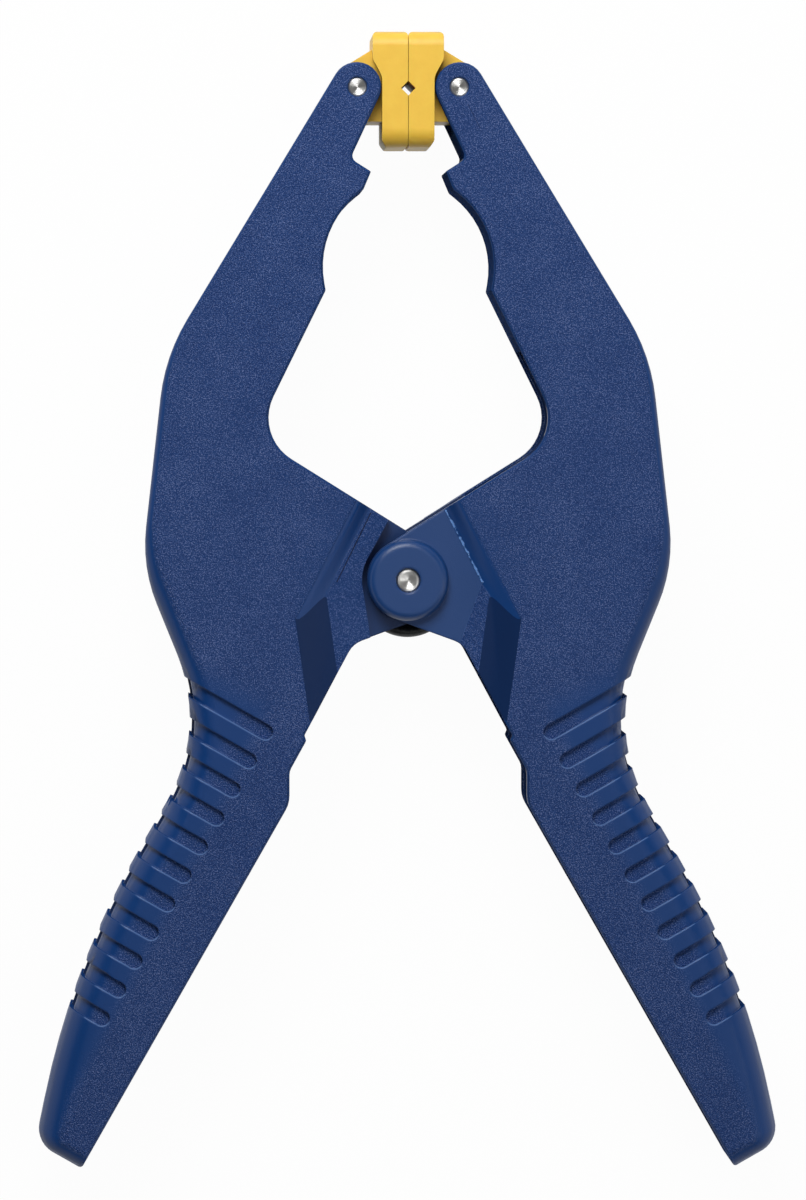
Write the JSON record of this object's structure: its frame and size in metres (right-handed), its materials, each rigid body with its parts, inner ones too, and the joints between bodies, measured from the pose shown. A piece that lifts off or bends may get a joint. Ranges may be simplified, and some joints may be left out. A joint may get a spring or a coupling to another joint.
{
  "type": "spring clamp",
  "caption": "Hand spring clamp: two moulded levers on one pivot, closed by a torsion spring, with ribbed handles and swivelling jaw pads.",
  "frame": {"origin": "middle of the clamp's box on the surface that it lies on", "axes": "+Y towards the jaws, +Z along the pivot pin and away from the surface, +X towards the lever whose boss is uppermost"},
  "size_m": [0.153, 0.2348, 0.031],
  "materials": {
    "lever_resin": "spark-eroded grain on glass-filled resin",
    "pad_resin": "fine satin on soft resin",
    "pin_steel": "turned ends",
    "spring_wire": "dark drawn spring wire"
  },
  "bodies": {
    "left_arm": {"left_lever": "lever_resin", "pivot_pin": "pin_steel", "left_pad_pin": "pin_steel", "torsion_spring": "spring_wire"},
    "right_arm": {"right_lever": "lever_resin", "right_pad_pin": "pin_steel"},
    "left_pad": {"left_pad": "pad_resin"},
    "right_pad": {"right_pad": "pad_resin"}
  },
  "joints": [
    {"name": "jaw_pivot", "type": "hinge", "parent": "left_arm", "child": "right_arm", "pos_m": [0, 0.00406, 0.0155], "axis": [0, 0, -1], "range_deg": [0, 45], "stiffness_Nm_per_rad": 1.5, "springref_deg": -40.11, "deforming": ["torsion_spring"]},
    {"name": "left_pad_swivel", "type": "hinge", "parent": "left_arm", "child": "left_pad", "pos_m": [-0.0105, 0.10586, 0.0155], "axis": [0, 0, -1], "range_deg": [0, 22.5]},
    {"name": "right_pad_swivel", "type": "hinge", "parent": "right_arm", "child": "right_pad", "pos_m": [0.0105, 0.10586, 0.0155], "axis": [0, 0, -1], "range_deg": [-22.5, 0]}
  ],
  "couplings": [
    {"joint": "left_pad_swivel", "follows": "jaw_pivot", "ratio": 0.5},
    {"joint": "right_pad_swivel", "follows": "jaw_pivot", "ratio": -0.5}
  ]
}
